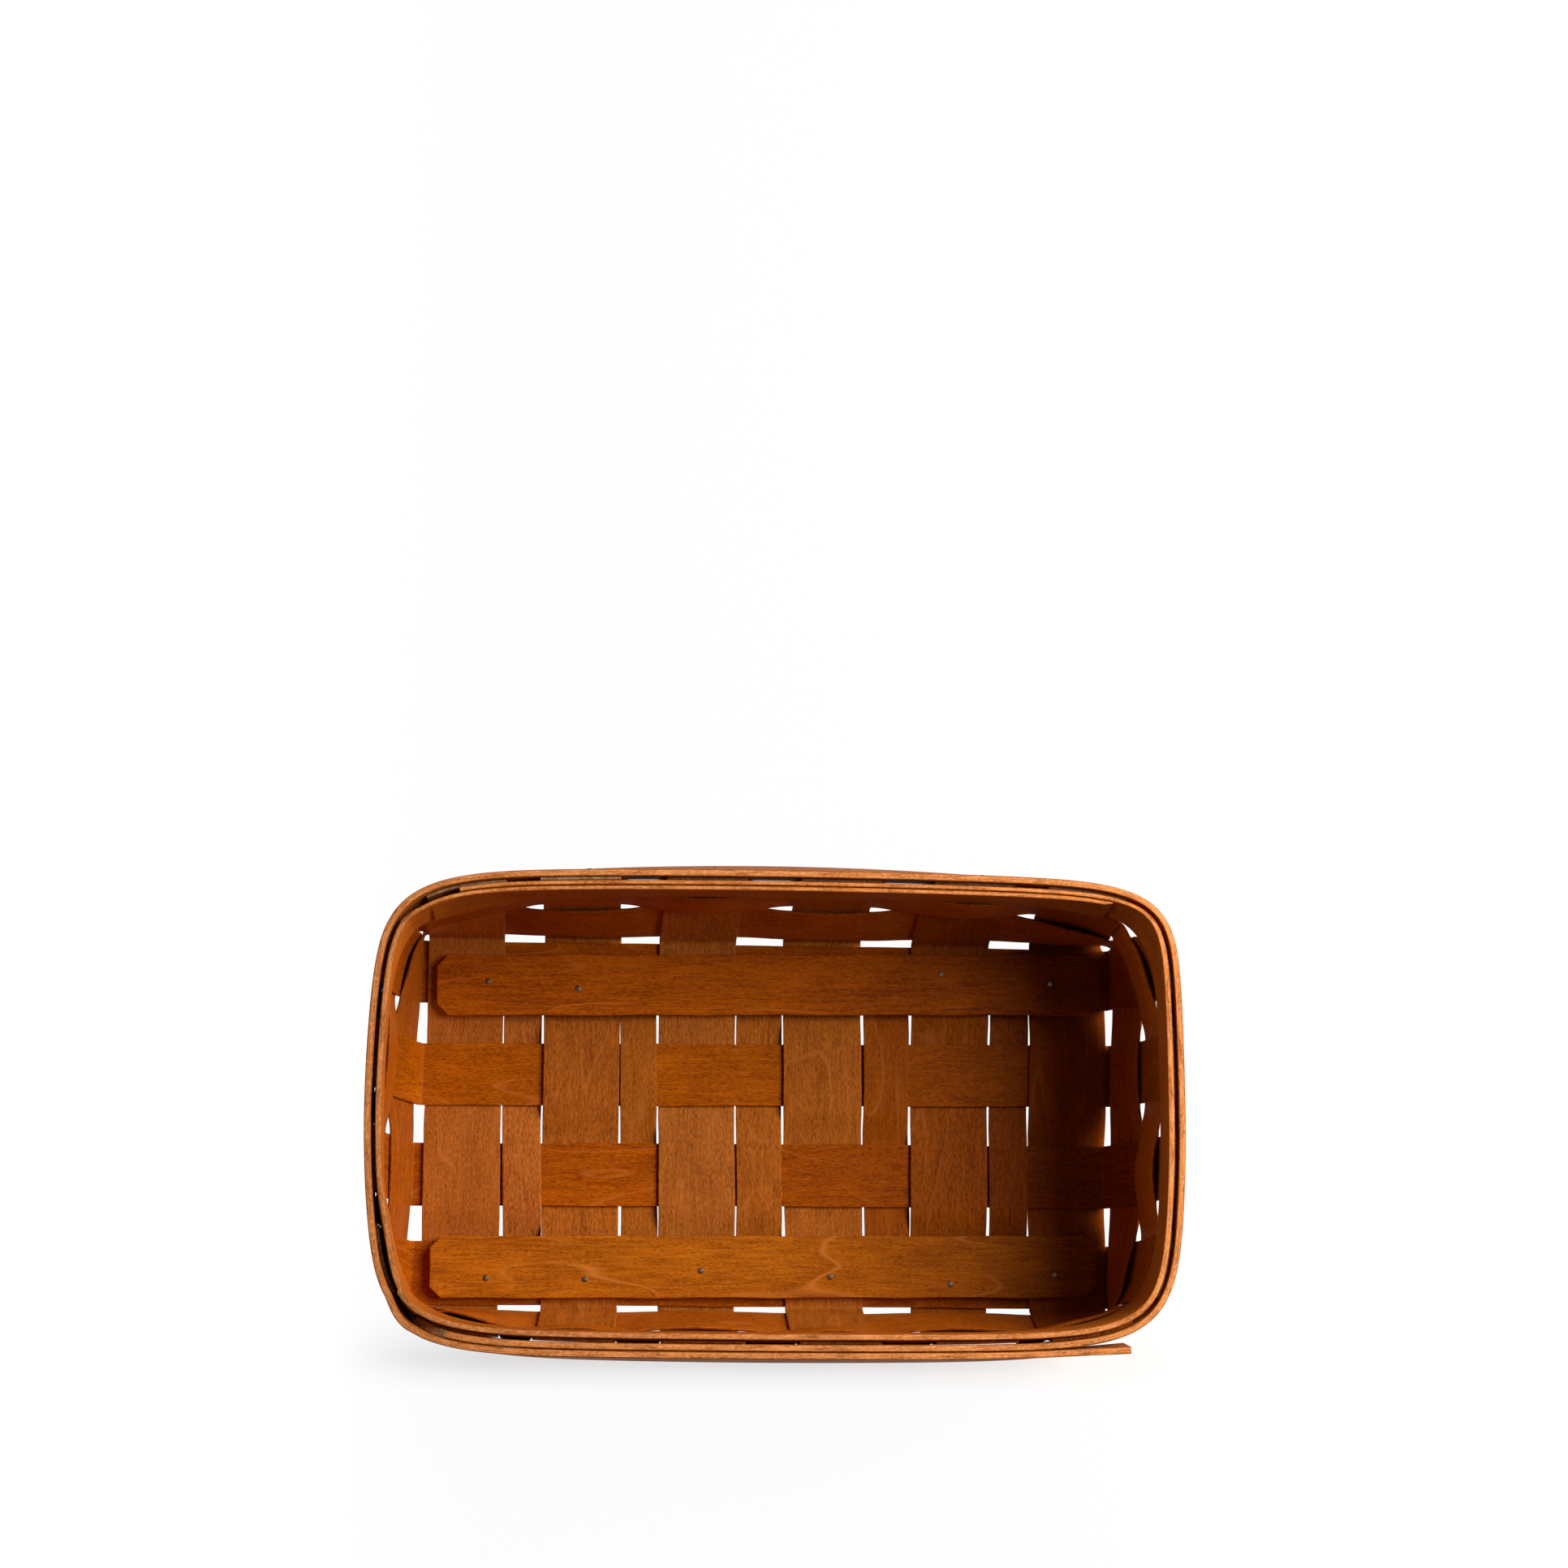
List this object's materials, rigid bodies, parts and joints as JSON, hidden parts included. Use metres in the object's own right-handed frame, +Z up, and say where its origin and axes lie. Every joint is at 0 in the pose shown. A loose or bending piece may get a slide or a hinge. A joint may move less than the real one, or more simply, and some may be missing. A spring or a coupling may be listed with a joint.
{
  "type": "rectangular woven splint basket",
  "caption": "Low rectangular basket woven from flat wooden splints, with a nailed double rim band and flat boards across its base.",
  "frame": {"origin": "centre of the basket's length and width, on the surface that it stands on", "axes": "+X along the basket's length, +Y across its width towards the side away from the outer band's free end, +Z up out of its open top"},
  "size_m": [0.3202, 0.1952, 0.0797],
  "materials": {
    "cross_splint": "satin stained veneer, fleck grain along the splint",
    "long_splint": "satin stained veneer, fleck grain along the splint",
    "weaver": "satin stained veneer, long grain",
    "rim_band": "satin stained wood with paler sawn edges",
    "base_board": "satin stained wood, long grain",
    "nail": "plain bright steel"
  },
  "bodies": {
    "root": {"upright_cross_1": "cross_splint", "upright_cross_2": "cross_splint", "upright_cross_3": "cross_splint", "upright_cross_4": "cross_splint", "upright_cross_5": "cross_splint", "upright_cross_6": "cross_splint", "base_filler_1": "cross_splint", "base_filler_2": "cross_splint", "base_filler_3": "cross_splint", "base_filler_4": "cross_splint", "base_filler_5": "cross_splint", "upright_long_1": "long_splint", "upright_long_2": "long_splint", "upright_long_3": "long_splint", "upright_long_4": "long_splint", "weaver_lower": "weaver", "weaver_upper": "weaver", "rim_outer": "rim_band", "rim_inner": "rim_band", "base_board_back": "base_board", "base_board_front": "base_board", "board_nail_back_1": "nail", "board_nail_back_2": "nail", "board_nail_back_3": "nail", "board_nail_back_4": "nail", "board_nail_front_1": "nail", "board_nail_front_2": "nail", "board_nail_front_3": "nail", "board_nail_front_4": "nail", "board_nail_front_5": "nail", "board_nail_front_6": "nail", "rim_nail_1": "nail", "rim_nail_2": "nail", "rim_nail_3": "nail", "rim_nail_4": "nail", "rim_nail_5": "nail", "rim_nail_6": "nail", "rim_nail_7": "nail", "rim_nail_8": "nail", "rim_nail_9": "nail", "rim_nail_10": "nail", "rim_nail_11": "nail", "rim_nail_12": "nail", "rim_nail_13": "nail", "rim_nail_14": "nail", "rim_nail_15": "nail", "rim_nail_16": "nail", "rim_nail_17": "nail", "rim_nail_18": "nail", "rim_nail_19": "nail"}
  },
  "joints": []
}
